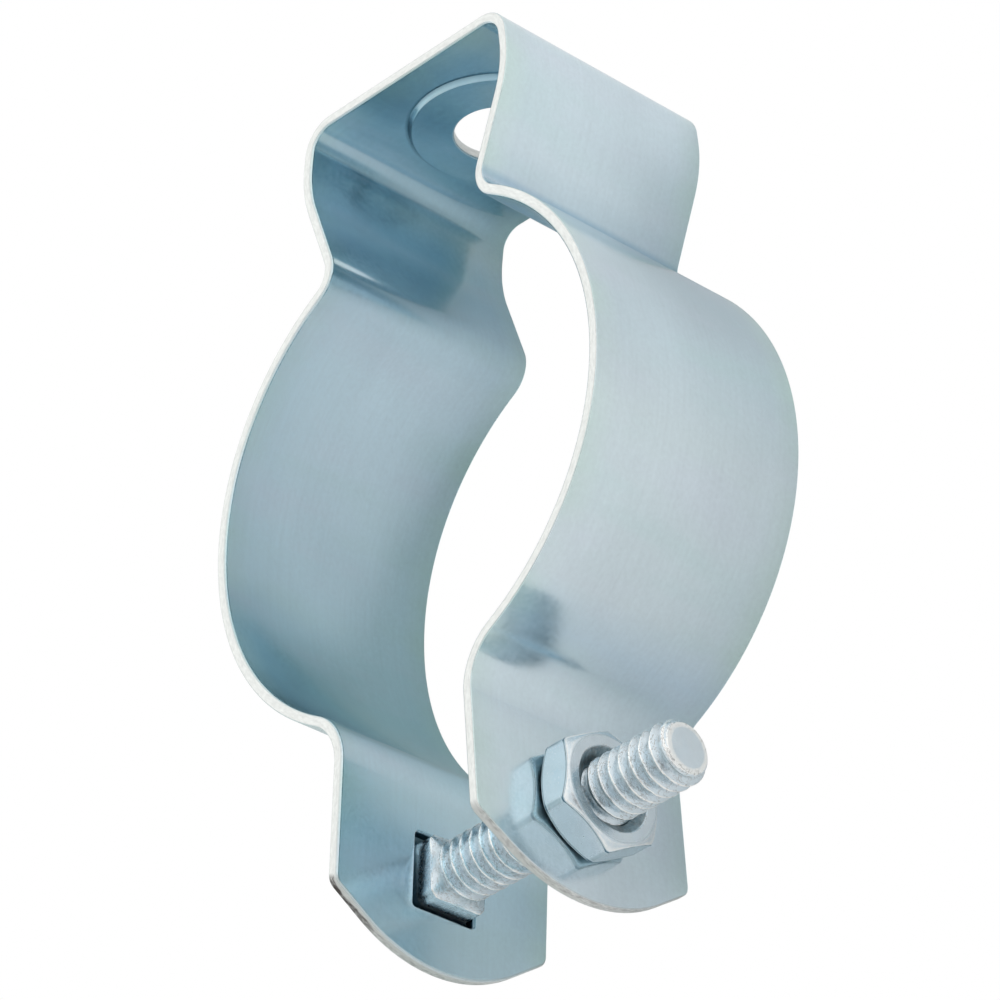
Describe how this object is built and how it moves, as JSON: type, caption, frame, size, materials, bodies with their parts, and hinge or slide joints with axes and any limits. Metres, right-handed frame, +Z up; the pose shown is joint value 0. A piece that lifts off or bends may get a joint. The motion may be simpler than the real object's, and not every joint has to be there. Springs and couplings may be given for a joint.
{
  "type": "conduit hanger",
  "caption": "Folded zinc-plated steel strap that hangs from a hole in its flat top and clamps a round conduit, closed by a carriage bolt and hex nut.",
  "frame": {"origin": "centre of the hanging hole, in the plane of the strap's flat top face", "axes": "+Z up, out of the top face; +Y along the conduit; +X from the leg with the square hole to the leg with the nut"},
  "size_m": [0.0514, 0.0254, 0.0885],
  "materials": {
    "zinc_strap": "bright zinc plating, semi-gloss",
    "zinc_bolt": "bright zinc plating, glossy"
  },
  "bodies": {
    "strap": {"hanger_strap": "zinc_strap"},
    "bolt": {"carriage_bolt": "zinc_bolt"},
    "nut": {"hex_nut": "zinc_bolt"}
  },
  "joints": [
    {"name": "nut_turn", "type": "hinge", "parent": "strap", "child": "nut", "pos_m": [0.01018, 0.00015, -0.07866], "axis": [0.9992, -0.0056, 0.0383], "range_deg": [0, 2880]},
    {"name": "bolt_slide", "type": "slide", "parent": "strap", "child": "bolt", "axis": [0.9992, -0.0056, 0.0383], "range_m": [-0.01015, 0]}
  ],
  "couplings": [
    {"joint": "nut_turn", "follows": "bolt_slide", "rad_per_m": -4947.4}
  ]
}
